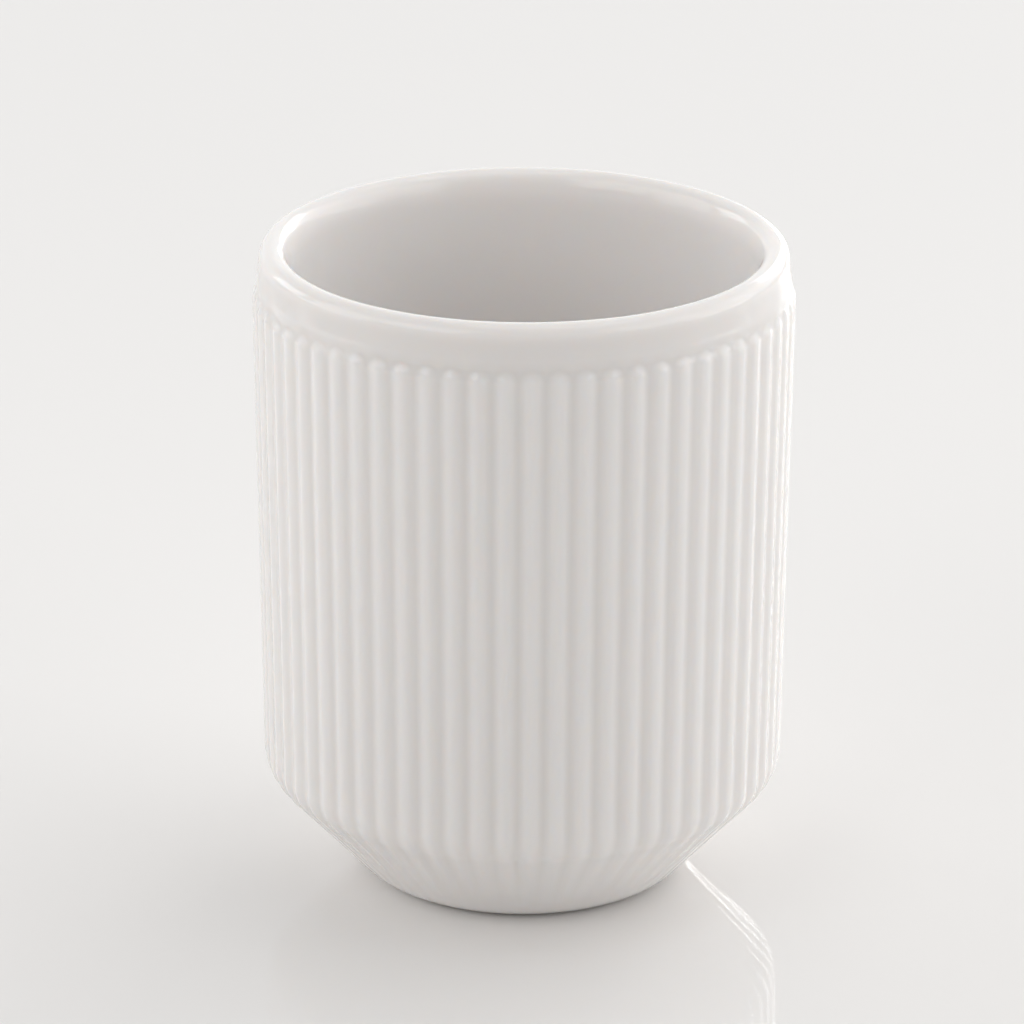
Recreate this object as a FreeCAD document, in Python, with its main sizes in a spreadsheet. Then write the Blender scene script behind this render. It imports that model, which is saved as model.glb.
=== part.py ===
# Pen holder cup, one piece of glazed porcelain with ribs round the outside.
# Millimetres, +Z up. The origin is the centre of the foot, on the table.
import FreeCAD, Part
import math
import os
import re
import Sketcher
from FreeCAD import Placement, Rotation, Vector

node = "cup_body"

# what can be set: name, value, meaning
driving = [
    ("crest_radius", 42.0, "radius over the ribs at their heads"),
    ("total_height", 103.1, "table to the top of the lip"),
    ("wall_draft", 0.84, "lean of the ribbed wall, degrees"),
    ("wall_thickness", 5.0, "wall at the rib heads, ribs left out"),
    ("lip_thickness", 4.14, "width of the rounded lip"),
    ("lip_inset", 1.08, "rib crests in to the lip's outer edge"),
    ("mouth_lean", 5.0, "lean of the mouth where it leaves the lip, degrees"),
    ("mouth_drop", 7.6, "top of the lip down to where the mouth meets the straight wall"),
    ("band_drop", 4.2, "top of the lip down to where the wall turns in to it"),
    ("shoulder_height", 17.9, "table up to where wall and cone would meet"),
    ("shoulder_round", 6.4, "rounding of the shoulder, between the ribs"),
    ("cone_thickness", 4.4, "wall of the cone, measured square to it"),
    ("inner_shoulder_round", 7.0, "rounding of the shoulder inside"),
    ("floor_height", 5.2, "table up to the floor inside"),
    ("floor_round", 5.0, "cove between the floor and the cone inside"),
    ("foot_radius", 23.6, "outer edge of the ring that touches the table"),
    ("foot_ring_width", 2.4, "width of that ring"),
    ("foot_reach", 0.7, "how far past the ring the cone would reach the table"),
    ("foot_edge_round", 1.2, "rounding of the ring's outer edge"),
    ("foot_edge_lean", 30.0, "slope of that rounding where it runs out, degrees"),
    ("recess_depth", 1.4, "depth of the underside inside the ring"),
    ("recess_narrowing", 0.6, "how much narrower the recess is at its ceiling"),
    ("turning_allowance", 4.0, "clay under the foot before it is turned"),
    ("rib_count", 65, "ribs round the cup"),
    ("rib_height", 0.7, "how far a rib stands out of the wall"),
    ("rib_bar_radius", 1.45, "radius of the round bar that a rib is the top of"),
    ("rib_bend_ease", 0.25, "how much rounder the bar bends than the shoulder over it"),
    ("rib_head_drop", 7.8, "top of the lip down to the middle of a rib's round head"),
    ("rib_foot_height", 0.15, "how far a rib still stands out at the table"),
]

# what follows from those, as formulas in their names
derived = {
    "ground_radius": "(crest_radius - rib_height)",
    "head_height": "(total_height - rib_head_drop)",
    "band_height": "(total_height - band_drop)",
    "band_radius": "(ground_radius + (band_height - head_height) * tan(wall_draft))",
    "lip_half": "(lip_thickness / 2)",
    "lip_radius": "(crest_radius - lip_inset - lip_half)",
    "lip_middle": "(total_height - lip_half)",
    "cavity_radius": "(ground_radius - wall_thickness)",
    "cone_foot_radius": "(foot_radius + foot_reach)",
    "shoulder_radius": "(ground_radius - (head_height - shoulder_height) * tan(wall_draft))",
    "cone_slope": "((shoulder_radius - cone_foot_radius) / shoulder_height)",
    "cone_lean": "atan(cone_slope)",
    "half_turn": "((cone_lean - wall_draft * 1deg) / 2)",
    "mean_lean": "((cone_lean + wall_draft * 1deg) / 2)",
    "bend_radius": "(shoulder_radius - shoulder_round * cos(mean_lean) / cos(half_turn))",
    "bend_height": "(shoulder_height + shoulder_round * sin(mean_lean) / cos(half_turn))",
    "cone_across": "(cone_thickness / cos(cone_lean))",
    "inner_corner_height": "((cavity_radius - cone_foot_radius + cone_across) / cone_slope)",
    "inner_bend_radius": "(cavity_radius - inner_shoulder_round)",
    "inner_bend_height": "(inner_corner_height + inner_shoulder_round * tan(cone_lean / 2))",
    "floor_radius": "(cone_foot_radius + floor_height * cone_slope - cone_across)",
    "stub_radius": "(cone_foot_radius - turning_allowance * cone_slope)",
    "edge_end_radius": "(foot_radius + foot_edge_round * sin(foot_edge_lean))",
    "edge_end_height": "(foot_edge_round * (1 - cos(foot_edge_lean)))",
    "waste_radius": "(edge_end_radius + turning_allowance)",
    "waste_height": "(edge_end_height + turning_allowance * tan(foot_edge_lean))",
    "bar_depth": "(rib_bar_radius - rib_height)",
    "bar_bend": "(shoulder_round - bar_depth + rib_bend_ease)",
    "bar_top_radius": "(ground_radius - bar_depth / cos(wall_draft))",
    "bar_knee_radius": "(shoulder_radius - bar_depth * cos(mean_lean) / cos(half_turn))",
    "bar_knee_height": "(shoulder_height + bar_depth * sin(mean_lean) / cos(half_turn))",
    "bar_foot_radius": "(cone_foot_radius - (rib_bar_radius - rib_foot_height) / cos(cone_lean))",
    "bar_slope": "((bar_knee_radius - bar_foot_radius) / bar_knee_height)",
    "bar_end_height": "(-turning_allowance / 2)",
    "bar_end_radius": "(bar_foot_radius + bar_end_height * bar_slope)",
}

doc = FreeCAD.newDocument("pen_holder_cup")
sizes = doc.addObject("Spreadsheet::Sheet", "sizes")
for row, (name, number, meaning) in enumerate(driving, start=1):
    sizes.set(f"A{row}", meaning)
    sizes.set(f"B{row}", str(number))
    sizes.setAlias(f"B{row}", name)
doc.recompute()

cells = "|".join(name for name, number, meaning in driving)
formulas = "|".join(derived)


def bound(formula):
    """A formula in plain names, as an expression that reads the sheet's cells."""
    text = formula
    while re.search(rf"\b({formulas})\b", text):
        text = re.sub(rf"\b({formulas})\b", lambda found: derived[found.group()], text)
    return re.sub(rf"\b({cells})\b", r"sizes.\1", text)


def value(formula):
    return float(sizes.evalExpression(bound(formula)))


def point(across, up):
    return Vector(value(across), value(up), 0)


def origin_part(body, role):
    return next(part for part in body.Origin.OriginFeatures if part.Role == role)


def sketch_on(body, role, name):
    sketch = body.newObject("Sketcher::SketchObject", name)
    sketch.AttachmentSupport = (origin_part(body, role), [""])
    sketch.MapMode = "FlatFace"
    return sketch


def fix(sketch, kind, places, name, formula):
    """Add a dimension to a sketch and bind it to its formula."""
    index = sketch.addConstraint(Sketcher.Constraint(kind, *places, value(formula)))
    sketch.renameConstraint(index, name)
    sketch.setExpression(f"Constraints.{name}", bound(formula))


def pin(sketch, place, name, across, up):
    """Fix a point of a sketch at its two coordinates; one on an axis is held by that axis."""
    for kind, axis, formula in (("DistanceX", -2, across), ("DistanceY", -1, up)):
        if formula == "0":
            sketch.addConstraint(Sketcher.Constraint("PointOnObject", *place, axis))
        else:
            fix(sketch, kind, (-1, 1, *place), f"{name}_{kind[-1]}", formula)


def arc_through(start, end, radius):
    """The arc of this radius from start to end, anticlockwise; a negative radius goes clockwise."""
    first, last = (start, end) if radius > 0 else (end, start)
    half = (last - first) * 0.5
    rise = math.sqrt(radius**2 - half.Length**2)
    middle = first + half + Vector(-half.y, half.x, 0).normalize() * rise
    angles = [math.atan2(p.y - middle.y, p.x - middle.x) for p in (first, last)]
    return Part.ArcOfCircle(Part.Circle(middle, Vector(0, 0, 1), abs(radius)), *angles)


def outline(sketch, corners):
    """A closed outline. Each corner has a name, its place, and the radius of an arc that leaves it."""
    points = [point(across, up) for name, across, up, radius in corners]
    ends = []
    for index, (name, across, up, radius) in enumerate(corners):
        start, end = points[index], points[(index + 1) % len(corners)]
        if radius:
            sketch.addGeometry(arc_through(start, end, value(radius)))
            fix(sketch, "Radius", (index,), f"{name}_round", radius.lstrip("-"))
        else:
            sketch.addGeometry(Part.LineSegment(start, end))
        clockwise = radius and radius.startswith("-")
        ends.append((2, 1) if clockwise else (1, 2))
    for index, (name, across, up, radius) in enumerate(corners):
        before = (index - 1) % len(corners)
        place = (index, ends[index][0])
        sketch.addConstraint(Sketcher.Constraint("Coincident", before, ends[before][1], *place))
        pin(sketch, place, name, across, up)


def turned(body, kind, name, section):
    """A solid or a cut turned about the sketch's upright axis, its seam at the back of the cup."""
    feature = body.newObject(kind, name)
    feature.Profile = section
    feature.ReferenceAxis = (section, ["V_Axis"])
    feature.Angle = 360
    feature.Midplane = True
    doc.recompute()
    return feature


def make_wall(body):
    """The plain cup, up the outside, over the lip and down inside, with clay left under the foot."""
    section = sketch_on(body, "XZ_Plane", "wall_section")
    outline(section, [
        ("stub_middle", "0", "-turning_allowance", None),
        ("stub_edge", "stub_radius", "-turning_allowance", None),
        ("cone_top", "bend_radius + shoulder_round * cos(cone_lean)",
         "bend_height - shoulder_round * sin(cone_lean)", "shoulder_round"),
        ("wall_foot", "bend_radius + shoulder_round * cos(wall_draft)",
         "bend_height - shoulder_round * sin(wall_draft)", None),
        ("band", "band_radius", "band_height", None),
        ("lip_outside", "lip_radius + lip_half", "lip_middle", "lip_half"),
        ("mouth", "lip_radius - lip_half * cos(mouth_lean)",
         "lip_middle + lip_half * sin(mouth_lean)", None),
        ("cavity_top", "cavity_radius", "total_height - mouth_drop", None),
        ("cavity_foot", "cavity_radius", "inner_bend_height", "-inner_shoulder_round"),
        ("inner_cone_top", "inner_bend_radius + inner_shoulder_round * cos(cone_lean)",
         "inner_bend_height - inner_shoulder_round * sin(cone_lean)", None),
        ("floor_edge", "floor_radius", "floor_height", None),
        ("floor_middle", "0", "floor_height", None),
    ])
    return turned(body, "PartDesign::Revolution", "wall", section)


def make_cove(body, wall):
    """The rounding between the floor and the cone, inside."""
    place = point("floor_radius", "floor_height")
    edges = [
        f"Edge{index}"
        for index, edge in enumerate(wall.Shape.Edges, start=1)
        if isinstance(edge.Curve, Part.Circle)
        and math.isclose(edge.Curve.Radius, place.x)
        and math.isclose(edge.Curve.Center.z, place.y)
    ]
    cove = body.newObject("PartDesign::Fillet", "floor_cove")
    cove.Base = (wall, edges)
    cove.setExpression("Radius", bound("floor_round"))
    doc.recompute()
    return cove


def rib_path(body):
    """Middle line of the bar: down the wall, round the shoulder and down the cone, slowly sinking."""
    sketch = sketch_on(body, "XZ_Plane", "rib_path")
    top = point("bar_top_radius", "head_height")
    knee = point("bar_knee_radius", "bar_knee_height")
    end = point("bar_end_radius", "bar_end_height")
    radius = value("bar_bend")
    up, down = (top - knee).normalize(), (end - knee).normalize()
    half = up.getAngle(down) / 2
    middle = knee + (up + down).normalize() * (radius / math.sin(half))
    above, below = (knee + way * (radius / math.tan(half)) for way in (up, down))
    angles = [math.atan2(p.y - middle.y, p.x - middle.x) for p in (below, above)]
    sketch.addGeometry(Part.LineSegment(top, above))
    sketch.addGeometry(Part.ArcOfCircle(Part.Circle(middle, Vector(0, 0, 1), radius), *angles))
    sketch.addGeometry(Part.LineSegment(below, end))
    sketch.addGeometry(Part.Point(knee), True)
    sketch.addConstraint(Sketcher.Constraint("Tangent", 0, 2, 1, 2))
    sketch.addConstraint(Sketcher.Constraint("Tangent", 1, 1, 2, 1))
    sketch.addConstraint(Sketcher.Constraint("PointOnObject", 3, 1, 0))
    sketch.addConstraint(Sketcher.Constraint("PointOnObject", 3, 1, 2))
    pin(sketch, (0, 1), "top", "bar_top_radius", "head_height")
    pin(sketch, (3, 1), "knee", "bar_knee_radius", "bar_knee_height")
    pin(sketch, (2, 2), "end", "bar_end_radius", "bar_end_height")
    fix(sketch, "Radius", (1,), "bend", "bar_bend")
    return sketch


def make_rib(body):
    """One rib: the top of a round bar sunk in the wall."""
    path = rib_path(body)
    section = sketch_on(body, "XY_Plane", "rib_section")
    section.addGeometry(Part.Circle(Vector(0, 0, 0), Vector(0, 0, 1), value("rib_bar_radius")))
    section.addConstraint(Sketcher.Constraint("Coincident", 0, 3, -1, 1))
    fix(section, "Radius", (0,), "bar_round", "rib_bar_radius")
    section.AttachmentOffset = Placement(Vector(0, 0, 0), Rotation(Vector(0, 1, 0), 1))
    section.setExpression("AttachmentOffset.Base.x", bound("bar_top_radius"))
    section.setExpression("AttachmentOffset.Base.z", bound("head_height"))
    section.setExpression("AttachmentOffset.Rotation.Angle", bound("wall_draft"))
    doc.recompute()
    rib = body.newObject("PartDesign::AdditivePipe", "rib")
    rib.Profile = section
    rib.Spine = (path, ["Edge1", "Edge2", "Edge3"])
    doc.recompute()
    return rib


def make_rib_head(body):
    """The rib's round head: half a ball on the bar's upper end."""
    section = sketch_on(body, "XZ_Plane", "head_section")
    outline(section, [
        ("middle", "0", "0", None),
        ("side", "rib_bar_radius", "0", "rib_bar_radius"),
        ("top", "0", "rib_bar_radius", None),
    ])
    section.AttachmentOffset = Placement(Vector(0, 0, 0), Rotation(Vector(0, 0, 1), -1))
    section.setExpression("AttachmentOffset.Base.x", bound("bar_top_radius"))
    section.setExpression("AttachmentOffset.Base.y", bound("head_height"))
    section.setExpression("AttachmentOffset.Rotation.Angle", bound("-wall_draft"))
    doc.recompute()
    return turned(body, "PartDesign::Revolution", "rib_head", section)


def make_rib_ring(body, rib, head):
    ring = body.newObject("PartDesign::PolarPattern", "rib_ring")
    ring.Originals = [rib, head]
    ring.Axis = (origin_part(body, "Z_Axis"), [""])
    ring.Angle = 360
    ring.setExpression("Occurrences", bound("rib_count"))
    body.Tip = ring
    doc.recompute()
    return ring


def turn_foot(body):
    """The foot, turned last: the clay under the cup, the recess and the ring's rounded edge."""
    section = sketch_on(body, "XZ_Plane", "foot_section")
    outline(section, [
        ("waste_middle", "0", "-2 * turning_allowance", None),
        ("waste_corner", "waste_radius", "-2 * turning_allowance", None),
        ("waste_edge", "waste_radius", "waste_height", None),
        ("edge_end", "edge_end_radius", "edge_end_height", "-foot_edge_round"),
        ("ring_outside", "foot_radius", "0", None),
        ("ring_inside", "foot_radius - foot_ring_width", "0", None),
        ("recess_corner", "foot_radius - foot_ring_width - recess_narrowing", "recess_depth", None),
        ("recess_middle", "0", "recess_depth", None),
    ])
    doc.recompute()
    foot = turned(body, "PartDesign::Groove", "foot", section)
    body.Tip = foot
    doc.recompute()
    return foot


def check(plain, one_rib, ring, foot):
    """Stop if a feature failed, or if the ribs or the foot's cut didn't change the cup."""
    failed = [part.Name for part in doc.Objects if {"Invalid", "Error"} & set(part.State)]
    if failed:
        raise RuntimeError(f"failed: {failed}")
    shape = foot.Shape
    if shape.isNull() or not shape.isValid() or len(shape.Solids) != 1:
        raise RuntimeError(f"{node} is not one sound solid")
    rib_volume = one_rib.Shape.Volume - plain.Shape.Volume
    ribs_volume = ring.Shape.Volume - plain.Shape.Volume
    if rib_volume <= 0 or not math.isclose(ribs_volume, rib_volume * value("rib_count"), rel_tol=0.01):
        raise RuntimeError(f"one rib adds {rib_volume:.1f} and the ring {ribs_volume:.1f}")
    if foot.Shape.Volume >= ring.Shape.Volume:
        raise RuntimeError("the foot's cut removed nothing")
    print(f"{node}: {shape.Volume / 1000:.2f} cm3, {len(shape.Faces)} faces, one rib {rib_volume:.1f} mm3")


body = doc.addObject("PartDesign::Body", node)
body.Label = node
wall = make_wall(body)
cove = make_cove(body, wall)
rib = make_rib(body)
head = make_rib_head(body)
ring = make_rib_ring(body, rib, head)
foot = turn_foot(body)
check(cove, head, ring, foot)

os.makedirs("parts", exist_ok=True)
body.Shape.exportStep(f"parts/{body.Label}.step")
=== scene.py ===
import bpy
import math
import numpy as np
from mathutils import Matrix, Vector


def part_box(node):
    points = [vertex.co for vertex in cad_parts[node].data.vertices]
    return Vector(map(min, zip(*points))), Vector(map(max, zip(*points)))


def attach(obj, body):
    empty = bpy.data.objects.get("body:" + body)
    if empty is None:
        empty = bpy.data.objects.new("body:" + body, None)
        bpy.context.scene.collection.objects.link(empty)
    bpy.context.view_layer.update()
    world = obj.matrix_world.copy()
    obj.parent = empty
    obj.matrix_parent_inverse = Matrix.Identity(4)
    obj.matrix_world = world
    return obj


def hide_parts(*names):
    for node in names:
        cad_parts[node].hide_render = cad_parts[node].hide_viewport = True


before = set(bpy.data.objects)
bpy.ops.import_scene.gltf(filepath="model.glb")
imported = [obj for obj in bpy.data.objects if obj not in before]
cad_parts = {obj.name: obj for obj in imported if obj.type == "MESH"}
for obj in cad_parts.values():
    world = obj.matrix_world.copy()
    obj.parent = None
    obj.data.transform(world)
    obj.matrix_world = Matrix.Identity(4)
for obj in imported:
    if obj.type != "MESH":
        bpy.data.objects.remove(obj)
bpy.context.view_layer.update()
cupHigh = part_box("cup_body")[1]
millimetre = 0.001
tiny = 1e-6                  # stands in for zero where a flat stretch would divide by it
print("frame loaded", sorted(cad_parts))


def linearColour(hexColour):
    # sRGB hex to the linear values that shaders take
    channels = [int(hexColour[i:i + 2], 16) / 255 for i in (1, 3, 5)]
    linear = [c / 12.92 if c <= 0.04045 else ((c + 0.055) / 1.055) ** 2.4 for c in channels]
    return (*linear, 1.0)


def addNode(tree, kind, settings={}, links={}):
    # one node; a setting names a property or, failing that, an input socket
    node = tree.nodes.new(kind)
    for name, value in settings.items():
        if isinstance(name, str) and hasattr(node, name):
            setattr(node, name, value)
        else:
            node.inputs[name].default_value = value
    for name, source in links.items():
        tree.links.new(source, node.inputs[name])
    return node


def newMaterial(name):
    material = bpy.data.materials.new(name)
    material.use_nodes = True
    material.node_tree.nodes.clear()
    return material, material.node_tree


# the photograph's viewing angle, through a long lens
view = {
    "azimuth": -90.4,        # degrees round the cup, so that the ribs fall as in the photograph
    "distance": 0.8786,      # metres from the cup's axis
    "height": 0.3868,        # metres above the table
    "sideAim": -0.1146,      # degrees to the right of the axis, so this is to its left
    "downAim": 20.4775,      # degrees below level
    "roll": 0.1719,          # degrees
    "lens": 210.4,           # mm
    "sensor": 36.0,
}


def makeCamera(v):
    turn = math.radians(v["azimuth"])
    aim = math.radians(v["sideAim"])
    down = math.radians(v["downAim"])
    roll = math.radians(v["roll"])
    inward = Vector((-math.cos(turn), -math.sin(turn), 0))
    across = Vector((inward.y, -inward.x, 0))
    level = inward * math.cos(aim) + across * math.sin(aim)
    right = Vector((level.y, -level.x, 0))
    forward = level * math.cos(down) - Vector((0, 0, math.sin(down)))
    up = right.cross(forward)
    tiltedRight = right * math.cos(roll) + up * math.sin(roll)
    tiltedUp = up * math.cos(roll) - right * math.sin(roll)
    data = bpy.data.cameras.new("camera")
    data.lens = v["lens"]
    data.sensor_width = v["sensor"]
    camera = bpy.data.objects.new("camera", data)
    axes = Matrix((tiltedRight, tiltedUp, -forward)).transposed().to_4x4()
    place = -inward * v["distance"] + Vector((0, 0, v["height"]))
    camera.matrix_world = Matrix.Translation(place) @ axes
    bpy.context.scene.collection.objects.link(camera)
    bpy.context.scene.camera = camera


makeCamera(view)
print("camera placed")

# the cup's form, in millimetres
cup = {
    "height": cupHigh.z / millimetre,
    "crestRadius": cupHigh.x / millimetre,   # +X runs through the middle of a rib
    "ribCount": 65,
    "ribColumns": 16,        # mesh columns to a rib
    "ribHeight": 0.62,       # crest above the lower end of the band
    "hollowFill": 0.33,      # how far the hollows lie above the same, filled with glaze
    "ribFootHeight": 0.02,   # what is left of ribHeight at the foot
    "ribFade": 1.6,          # above 1, the ribs sink sooner on their way down the cone
    "ridgeShare": 0.44,      # part of the pitch that bulges; the rest is hollow
    "headDrop": 6.6,         # top of the lip down to the tip of a rib's round head
    "headLength": 2.2,       # tip of the head down to the full rib
    "wallDraft": 0.84,       # degrees
    "lipRadius": 38.85,      # middle of the bead
    "lipHalf": 2.07,         # radius of the bead's section
    "lipLean": 7.6,          # degrees above level, where the bead runs into the sloping band
    "mouthLean": 22.0,       # the same, where it runs into the mouth
    "cavityRadius": 36.3,    # the straight well
    "shoulderHeight": 17.9,  # where the lines of wall and cone cross
    "shoulderRound": 6.4,
    "innerShoulderRound": 7.0,
    "coneFootRadius": 24.5,  # where the cone's line meets the table
    "coneThickness": 4.4,
    "floorHeight": 5.2,
    "floorRound": 5.0,
    "footRadius": 21.2,      # where the rounded foot touches the table
    "ringWidth": 2.4,
    "ringInnerRound": 0.35,
    "recessDepth": 1.4,
    "recessCove": 0.6,
    # mesh rows: a number of steps along a rounding, the band or a head, or else shares of the way
    # along a straight run
    "floorRows": (0.4, 0.8, 0.97),
    "coveRows": 5,
    "innerConeRows": (0.06, 0.94),
    "innerShoulderRows": 6,
    "wellRows": (0.02, 0.97),
    "mouthRows": 4,
    "beadRows": 17,
    "bandRows": 6,
    "aboveHeadRows": (0.5,),
    "headRows": 11,
    "wallRows": (0.02, 0.5, 0.98),
    "shoulderRows": 10,
    "coneRows": (0.05, 0.2, 0.4, 0.6, 0.8, 0.95),
    "footEdgeRows": 6,
    "ringEdgeRows": 3,
    "recessRows": 3,
}

handwork = {
    "seed": 7,
    "ribShift": 0.035,       # mm, how far a rib strays sideways
    "ribSwell": 0.03,        # share of its height
    "ribTurns": 40,          # cosines in these two, enough for them to change from rib to rib
    "wave": 0.012,           # mm, the glaze's long, low waves
    "waveTurns": 14,         # cosines in them
    "waveLength": 16.0,      # mm from crest to crest, up the wall
    "glazeRun": 0.8,         # mm, the band's pooled glaze and painted shade set in over this below the lip and at the heads
    "hollowGlazeAndShade": 0.27,     # share of the pooled colour in the hollows: deeper glaze, and painted shade
    "bandGlazeAndShade": 0.15,       # and on the band, partly pooled glaze and partly painted shade under the lip
    "glazeEnd": 0.28,        # mm above the table, where the ring was wiped bare
    "glazeEdge": 0.07,       # mm over which the glaze ends
}


def lineRows(start, end, shares):
    # points at these shares of the way from start to end
    t = np.asarray(shares, float)[:, None]
    return np.asarray(start) * (1 - t) + np.asarray(end) * t


def arcRows(middle, radius, fromAngle, toAngle, steps):
    # middle + radius * (cos a, sin a), for the angle a in equal steps, in degrees
    a = np.radians(np.linspace(fromAngle, toAngle, steps + 1))
    return np.asarray(middle) + radius * np.stack([np.cos(a), np.sin(a)], axis=1)


def cupProfile(c, h):
    # half the cup's section, from the middle of the floor, up inside, over the lip, down outside
    # and under the foot: for each row its radius and height, how high its ribs stand, how many
    # head lengths it lies above the full ribs, how bare it is, and how much of the band's pooled
    # glaze and painted shade it has
    draft = math.radians(c["wallDraft"])
    ground = c["crestRadius"] - c["ribHeight"]
    headTip = c["height"] - c["headDrop"]
    draftStart = headTip - math.pi * ground / c["ribCount"]
    shoulderRadius = ground - (draftStart - c["shoulderHeight"]) * math.tan(draft)
    slope = (shoulderRadius - c["coneFootRadius"]) / c["shoulderHeight"]
    coneLean = math.atan(slope)
    coneDegrees = math.degrees(coneLean)
    half, mean = (coneLean - draft) / 2, (coneLean + draft) / 2
    bend = (shoulderRadius - c["shoulderRound"] * math.cos(mean) / math.cos(half),
            c["shoulderHeight"] + c["shoulderRound"] * math.sin(mean) / math.cos(half))
    across = c["coneThickness"] / math.cos(coneLean)
    cornerHeight = (c["cavityRadius"] - c["coneFootRadius"] + across) / slope
    innerBend = (c["cavityRadius"] - c["innerShoulderRound"],
                 cornerHeight + c["innerShoulderRound"] * math.tan(coneLean / 2))
    floorCorner = c["coneFootRadius"] + c["floorHeight"] * slope - across
    toFloor = math.tan((math.pi / 2 - coneLean) / 2)
    floorEdge = floorCorner - c["floorRound"] * toFloor
    lipMiddle = (c["lipRadius"], c["height"] - c["lipHalf"])
    lean = math.radians(c["mouthLean"])
    beadEnd = c["lipRadius"] - c["lipHalf"] * math.cos(lean)
    ease = (beadEnd - c["cavityRadius"]) / (1 - math.cos(lean))
    easeMiddle = (c["cavityRadius"] + ease, lipMiddle[1] - (ease - c["lipHalf"]) * math.sin(lean))
    footRound = (c["coneFootRadius"] - c["footRadius"]) / toFloor
    inner = c["footRadius"] - c["ringWidth"]

    floor = lineRows((0, c["floorHeight"]), (floorEdge, c["floorHeight"]), c["floorRows"])
    coveMiddle = (floorEdge, c["floorHeight"] + c["floorRound"])
    cove = arcRows(coveMiddle, c["floorRound"], -90, -coneDegrees, c["coveRows"])
    innerShoulder = arcRows(innerBend, c["innerShoulderRound"], -coneDegrees, 0, c["innerShoulderRows"])
    mouth = arcRows(easeMiddle, ease, 180, 180 - c["mouthLean"], c["mouthRows"])
    bead = arcRows(lipMiddle, c["lipHalf"], 180 - c["mouthLean"], c["lipLean"], c["beadRows"])[1:]
    bandEnd = bead[-1][1] - (ground - bead[-1][0]) / math.tan(math.radians(c["lipLean"]))
    band = lineRows(bead[-1], (ground, bandEnd), np.linspace(0, 1, c["bandRows"] + 1)[1:])
    headEnd = (ground, headTip - c["headLength"])
    heads = lineRows((ground, headTip), headEnd, np.linspace(0, 1, c["headRows"] + 1))
    shoulder = arcRows(bend, c["shoulderRound"], -c["wallDraft"], -coneDegrees, c["shoulderRows"])
    footEdge = arcRows((c["footRadius"], footRound), footRound, -coneDegrees, -90, c["footEdgeRows"])
    ringMiddle = (inner + c["ringInnerRound"], c["ringInnerRound"])
    ringEdge = arcRows(ringMiddle, c["ringInnerRound"], -90, -180, c["ringEdgeRows"])
    recessMiddle = (inner - c["recessCove"], c["recessDepth"] - c["recessCove"])
    recess = arcRows(recessMiddle, c["recessCove"], 0, 90, c["recessRows"])
    runs = [
        (floor, False), (cove, False),
        (lineRows(cove[-1], innerShoulder[0], c["innerConeRows"]), False), (innerShoulder, False),
        (lineRows(innerShoulder[-1], mouth[0], c["wellRows"]), False), (mouth, False),
        (bead, False), (band, False),
        (lineRows((ground, bandEnd), (ground, headTip), c["aboveHeadRows"]), True), (heads, True),
        (lineRows(heads[-1], shoulder[0], c["wallRows"]), True), (shoulder, True),
        (lineRows(shoulder[-1], footEdge[0], c["coneRows"]), True), (footEdge, True),
        (ringEdge, False), (recess, False),
    ]
    place = np.concatenate([points for points, hasRibs in runs])
    ribbed = np.concatenate([np.full(len(points), hasRibs) for points, hasRibs in runs])
    z = place[:, 1]
    sunk = np.clip(z / shoulder[0][1], 0, 1) ** c["ribFade"]
    ribHeight = c["ribFootHeight"] + (c["ribHeight"] - c["ribFootHeight"]) * sunk
    ribHeight = np.where(ribbed, ribHeight * np.sqrt(np.clip(z / footEdge[0][1], 0, 1)), 0)
    intoHead = np.where(ribbed, np.clip((z - headTip) / c["headLength"] + 1, 0, None), 0)
    underFoot = np.arange(len(z)) >= len(z) - len(footEdge) - len(ringEdge) - len(recess)
    bare = np.where(underFoot, np.clip((h["glazeEnd"] - z) / h["glazeEdge"], 0, 1), 0)
    underLip = np.clip((bead[-1][1] - z) / h["glazeRun"], 0, 1)
    onBand = np.where(place[:, 0] > c["lipRadius"], underLip, 0)
    return place, ribHeight, intoHead, bare, onBand


def ribRise(distance, pitch, height, share):
    # a ridge and a hollow, each an arc of a circle, meeting in one slope: with the turn a where
    # tan(a / 2) = 2 * height / pitch, the two radii add up to pitch / 2 / sin a
    turn = 2 * np.arctan(2 * height / pitch)
    both = pitch / 2 / np.maximum(np.sin(turn), tiny)
    ridge, hollow = both * share, both * (1 - share)
    fromEdge = np.clip(pitch / 2 - distance, 0, None)
    top = height - ridge + np.sqrt(np.maximum(ridge**2 - distance**2, 0))
    low = hollow - np.sqrt(np.maximum(hollow**2 - fromEdge**2, 0))
    return np.where(distance < ridge * np.sin(turn), top, low)


def wander(angle, height, turns, length, draws):
    # a smooth random line round the cup, mostly -1 to 1: equal cosines of whole turns up to the
    # given number, each with its own start, that also drift with the height over the given length
    order = np.arange(1, turns + 1)
    start = draws.uniform(0, 2 * math.pi, turns)
    drift = draws.uniform(-1, 1, turns) * 2 * math.pi / length
    total = np.zeros(np.broadcast(angle, height).shape)
    for m, a, d in zip(order, start, drift):
        total += np.cos(m * angle + d * height + a)
    return total / math.sqrt(turns)


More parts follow.
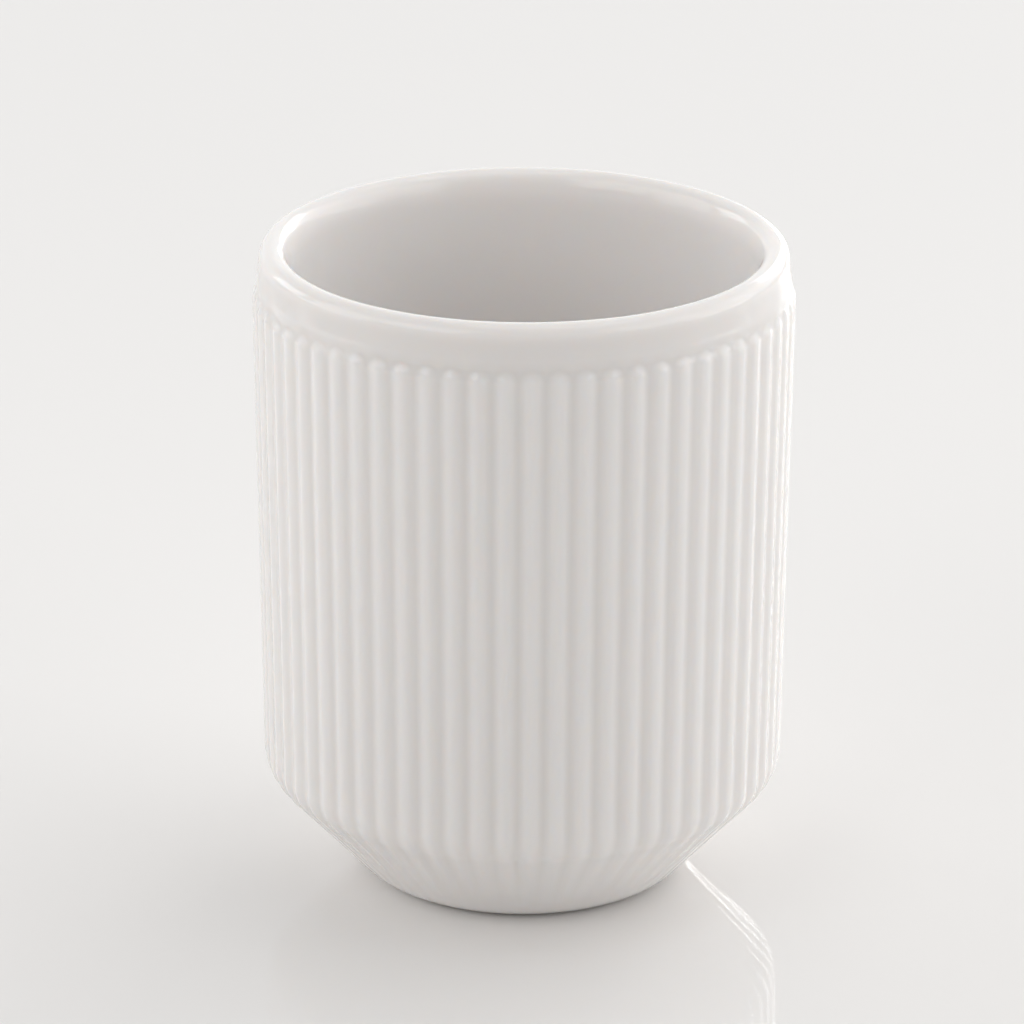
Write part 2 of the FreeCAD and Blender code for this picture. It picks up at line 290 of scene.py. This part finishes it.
def closedSurface(name, rings, firstPole, lastPole):
    # rings of points, rows by columns, joined by four-sided faces and closed at both poles
    rows, columns = rings.shape[:2]
    points = np.concatenate([rings.reshape(-1, 3), [firstPole, lastPole]])
    row, column = np.meshgrid(np.arange(rows - 1), np.arange(columns), indexing="ij")
    after = (column + 1) % columns
    low, high = row * columns, (row + 1) * columns
    quads = np.stack([low + column, high + column, high + after, low + after], axis=-1)
    quads = quads.reshape(-1, 4)
    ring = np.arange(columns)
    nextRing = (ring + 1) % columns
    last = (rows - 1) * columns
    firstFan = np.stack([np.full(columns, rows * columns), ring, nextRing], axis=-1)
    lastFan = np.stack([np.full(columns, rows * columns + 1), last + nextRing, last + ring], axis=-1)
    mesh = bpy.data.meshes.new(name)
    mesh.from_pydata(points.tolist(), [], quads.tolist() + firstFan.tolist() + lastFan.tolist())
    mesh.shade_smooth()
    mesh.update()
    piece = bpy.data.objects.new(name, mesh)
    bpy.context.scene.collection.objects.link(piece)
    return piece


def keepOnPoints(piece, name, rings, poles):
    # a value for each point of a closed surface, for its material to read
    values = np.concatenate([rings.reshape(-1), poles]).astype(np.float32)
    piece.data.attributes.new(name, "FLOAT", "POINT").data.foreach_set("value", values)


def makeCup(c, h):
    # the section turned round the axis: each point is its row's, moved along the section's outward
    # direction by the rise of the ribs and the glaze's waves
    place, ribHeight, intoHead, bare, onBand = cupProfile(c, h)
    ribHeight, intoHead, onBand = ribHeight[:, None], intoHead[:, None], onBand[:, None]
    draws = np.random.default_rng(h["seed"])
    along = np.gradient(place, axis=0)
    outward = np.stack([-along[:, 1], along[:, 0]], axis=1)
    outward /= np.linalg.norm(outward, axis=1, keepdims=True)
    columns = c["ribCount"] * c["ribColumns"]
    angle = np.arange(columns) * 2 * math.pi / columns
    step = 2 * math.pi / c["ribCount"]
    stray = wander(angle, 0, h["ribTurns"], h["waveLength"], draws) * h["ribShift"] / c["crestRadius"]
    fromCrest = np.abs((angle + stray + step / 2) % step - step / 2)
    swell = 1 + wander(angle, 0, h["ribTurns"], h["waveLength"], draws) * h["ribSwell"]
    radius, z = place[:, :1], place[:, 1:]
    pitch = radius * step
    distance = np.hypot(radius * fromCrest, intoHead * pitch / 2)
    t = np.clip(intoHead, 0, 1)   # the glaze in the hollows runs out smoothly over the heads
    fill = ribHeight * c["hollowFill"] / c["ribHeight"] * (1 - t * t * (3 - 2 * t))
    rise = ribRise(distance, pitch, ribHeight - fill, c["ridgeShare"]) * swell + fill
    waves = wander(angle, z, h["waveTurns"], h["waveLength"], draws) * h["wave"]
    settle = np.clip(z / c["floorHeight"], 0, 1)
    rise = np.where(ribHeight > 0, rise, 0) + waves * settle
    r = radius + outward[:, :1] * rise
    z = np.maximum(z + outward[:, 1:] * rise, 0)
    rings = np.stack([r * np.cos(angle), r * np.sin(angle), z], axis=-1)
    poles = np.array([(0, 0, c["floorHeight"]), (0, 0, c["recessDepth"])])
    piece = closedSurface("porcelain_cup", rings * millimetre, *(poles * millimetre))
    inHollow = np.clip((2 * distance / pitch - c["ridgeShare"]) / (1 - c["ridgeShare"]), 0, 1)
    nearRibs = np.exp(-np.clip(distance - pitch / 2, 0, None) / h["glazeRun"])
    nearRibs = np.where(ribHeight > 0, nearRibs, 0)
    # a darker band under the lip: partly pooled glaze, partly painted shade
    pooledAndShaded = h["bandGlazeAndShade"] * onBand * (1 - nearRibs)
    # darker hollows between the ribs: partly pooled glaze, partly painted shade
    pooledAndShaded = pooledAndShaded + h["hollowGlazeAndShade"] * inHollow * nearRibs * ribHeight / c["ribHeight"]
    keepOnPoints(piece, "pooledGlazeAndShade", pooledAndShaded, [0, 0])
    keepOnPoints(piece, "bareClay", np.broadcast_to(bare[:, None], pooledAndShaded.shape), [0, 0])
    return piece


glaze = {
    "thin": "#F4F1EF",       # warm white body under a thin skin, as on the ribs
    "pooledAndShaded": "#D6D2CD",     # the same under a deeper pool, and darkened further to paint shade in the hollows and on the band
    "roughness": 0.06,
    "ior": 1.5,
    "peel": 1.6,             # mm across the skin's fine ripple
    "peelDepth": 0.0006,     # mm
    "peelDetail": 1.0,
    "bisque": "#E4DED6",     # bare, matt ring
    "bisqueRoughness": 0.65,
    "grain": 0.25,           # mm, body grain on the ring
    "grainDepth": 0.008,     # mm
    "grainDetail": 3.0,
    "scatter": 1.0,          # share of the light that goes into the body first
    "scatterDepth": 2.0,     # mm
    "scatterSpread": (1.0, 0.9, 0.8),   # of that depth, for red, green and blue
}

firstColour, secondColour, mixedColour = 6, 7, 2   # a Mix node's sockets for colours


def glazedPorcelain(g):
    # glazed porcelain, moulded, dipped and fired: a white body under a clear glassy skin, which
    # gives sharp small lights over soft, slightly warm shading, and lies thicker in the hollows;
    # its darker pooled colour there and on the band is partly painted shade
    material, tree = newMaterial("glazedPorcelain")
    place = addNode(tree, "ShaderNodeTexCoord").outputs["Object"]
    # share of the darker pooled colour: deeper glaze, and painted shade in the hollows and under the
    # lip
    pooledAndShaded = addNode(tree, "ShaderNodeAttribute", {"attribute_name": "pooledGlazeAndShade"})
    bare = addNode(tree, "ShaderNodeAttribute", {"attribute_name": "bareClay"})
    skin = addNode(tree, "ShaderNodeMix", {
        "data_type": "RGBA", firstColour: linearColour(g["thin"]),
        secondColour: linearColour(g["pooledAndShaded"])},
        {"Factor": pooledAndShaded.outputs["Fac"]})
    colour = addNode(tree, "ShaderNodeMix", {
        "data_type": "RGBA", secondColour: linearColour(g["bisque"])},
        {"Factor": bare.outputs["Fac"], firstColour: skin.outputs[mixedColour]})
    roughness = addNode(tree, "ShaderNodeMix", {"A": g["roughness"], "B": g["bisqueRoughness"]},
                        {"Factor": bare.outputs["Fac"]})
    peel = addNode(tree, "ShaderNodeTexNoise", {
        "Scale": 1 / (g["peel"] * millimetre), "Detail": g["peelDetail"]}, {"Vector": place})
    ripple = addNode(tree, "ShaderNodeBump", {
        "Strength": 1.0, "Distance": g["peelDepth"] * millimetre}, {"Height": peel.outputs["Fac"]})
    grain = addNode(tree, "ShaderNodeTexNoise", {
        "Scale": 1 / (g["grain"] * millimetre), "Detail": g["grainDetail"]}, {"Vector": place})
    rough = addNode(tree, "ShaderNodeBump", {"Distance": g["grainDepth"] * millimetre},
                    {"Height": grain.outputs["Fac"], "Strength": bare.outputs["Fac"],
                     "Normal": ripple.outputs["Normal"]})
    shader = addNode(tree, "ShaderNodeBsdfPrincipled", {
        "IOR": g["ior"], "Subsurface Weight": g["scatter"],
        "Subsurface Radius": g["scatterSpread"], "Subsurface Scale": g["scatterDepth"] * millimetre},
        {"Base Color": colour.outputs[mixedColour], "Roughness": roughness.outputs["Result"],
         "Normal": rough.outputs["Normal"]})
    addNode(tree, "ShaderNodeOutputMaterial", {}, {"Surface": shader.outputs["BSDF"]})
    return material


porcelainCup = makeCup(cup, handwork)
porcelainCup.data.materials.append(glazedPorcelain(glaze))
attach(porcelainCup, "root")
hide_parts("cup_body")
print("cup made", len(porcelainCup.data.polygons), "faces")

table = {
    "reach": 6.0,            # metres from the middle to each edge
    "colour": "#F2F0EE",
    "roughness": 0.02,
    "ior": 1.5,
}


def makeTable(t):
    # lacquered white table top, polished: it mirrors the cup faintly at this low angle
    reach = t["reach"]
    mesh = bpy.data.meshes.new("table")
    mesh.from_pydata([(-reach, -reach, 0), (reach, -reach, 0), (reach, reach, 0), (-reach, reach, 0)],
                     [], [(0, 1, 2, 3)])
    piece = bpy.data.objects.new("table", mesh)
    bpy.context.scene.collection.objects.link(piece)
    material, tree = newMaterial("whiteLacquer")
    shader = addNode(tree, "ShaderNodeBsdfPrincipled", {
        "Base Color": linearColour(t["colour"]), "Roughness": t["roughness"], "IOR": t["ior"]})
    addNode(tree, "ShaderNodeOutputMaterial", {}, {"Surface": shader.outputs["BSDF"]})
    mesh.materials.append(material)


makeTable(table)
print("table laid")

lamps = {
    # degrees round the cup and above the table, metres away, metres across and up, and watts
    "windowRight": (62, 18, 2.4, (1.00, 1.15), 9.8),
    "windowLow": (74, 6, 2.4, (0.60, 0.34), 3.0),
    "rightBack": (38, 20, 2.4, (1.37, 1.37), 5.8),
    "right": (5, 22, 1.4, (0.90, 0.80), 3.0),
    "rightLow": (0, 4, 1.0, (0.70, 0.12), 0.6),
    "rightFront": (330, 25, 1.4, (0.90, 0.80), 2.6),
    "rightHigh": (15, 55, 1.4, (1.10, 0.90), 1.5),
    "leftBack": (148, 17, 1.4, (0.60, 0.50), 1.8),
    "left": (185, 22, 1.4, (0.90, 0.80), 2.9),
    "leftLow": (180, 4, 1.0, (0.70, 0.12), 0.4),
    "frontLeft": (225, 30, 1.4, (0.90, 0.80), 3.3),
    "above": (0, 85, 0.75, (0.45, 0.45), 0.5),
}


def makeLamp(name, azimuth, elevation, distance, size, watts):
    # a soft panel that faces the middle of the cup
    turn, rise = math.radians(azimuth), math.radians(elevation)
    away = Vector((math.cos(turn) * math.cos(rise), math.sin(turn) * math.cos(rise), math.sin(rise)))
    data = bpy.data.lights.new(name, "AREA")
    data.shape = "RECTANGLE"
    data.size, data.size_y = size
    data.energy = watts
    lamp = bpy.data.objects.new(name, data)
    place = away * distance + Vector((0, 0, cup["height"] * millimetre / 2))
    lamp.matrix_world = Matrix.Translation(place) @ away.to_track_quat("Z", "Y").to_matrix().to_4x4()
    bpy.context.scene.collection.objects.link(lamp)


for name, settings in lamps.items():
    makeLamp(name, *settings)
print("lamps hung", len(lamps))

room = {
    "wallFront": 0.37,       # strength of the light from low down, on the camera's side
    "wallBack": 1.08,
    "ceilingFront": 0.33,
    "ceilingBack": 0.89,
    "wallTop": 23.6,         # degrees above level
    "wallFade": 1.2,         # degrees, half of the soft line's width
    "backStart": 0.2,        # the light's direction along Y where the back's share begins
    "backWhole": 0.9,        # and where it is whole
    "colour": "#FFFFFF",
    "seen": 0.85,            # what the camera sees past the table's edge
}


def makeRoom(r):
    # walls up to a height, a dimmer ceiling above, a soft line between them, all brighter at the back
    world = bpy.data.worlds.new("room")
    bpy.context.scene.world = world
    world.use_nodes = True
    tree = world.node_tree
    tree.nodes.clear()
    direction = addNode(tree, "ShaderNodeTexCoord")
    parts = addNode(tree, "ShaderNodeSeparateXYZ", {}, {"Vector": direction.outputs["Generated"]})
    start, end = (math.sin(math.radians(r["wallTop"] + side * r["wallFade"])) for side in (-1, 1))
    high = addNode(tree, "ShaderNodeMapRange", {
        "interpolation_type": "SMOOTHSTEP", "From Min": start, "From Max": end},
        {"Value": parts.outputs["Z"]})
    back = addNode(tree, "ShaderNodeMapRange", {
        "interpolation_type": "SMOOTHSTEP", "From Min": r["backStart"], "From Max": r["backWhole"]},
        {"Value": parts.outputs["Y"]})
    wall, ceiling = (addNode(tree, "ShaderNodeMix", {"A": r[part + "Front"], "B": r[part + "Back"]},
                             {"Factor": back.outputs["Result"]}) for part in ("wall", "ceiling"))
    light = addNode(tree, "ShaderNodeMix", {}, {
        "Factor": high.outputs["Result"], "A": wall.outputs["Result"], "B": ceiling.outputs["Result"]})
    path = addNode(tree, "ShaderNodeLightPath")
    strength = addNode(tree, "ShaderNodeMix", {"B": r["seen"]}, {
        "Factor": path.outputs["Is Camera Ray"], "A": light.outputs["Result"]})
    background = addNode(tree, "ShaderNodeBackground", {"Color": linearColour(r["colour"])},
                         {"Strength": strength.outputs["Result"]})
    addNode(tree, "ShaderNodeOutputWorld", {}, {"Surface": background.outputs["Background"]})


makeRoom(room)
bpy.context.scene.view_settings.view_transform = "Standard"
print("room lit")
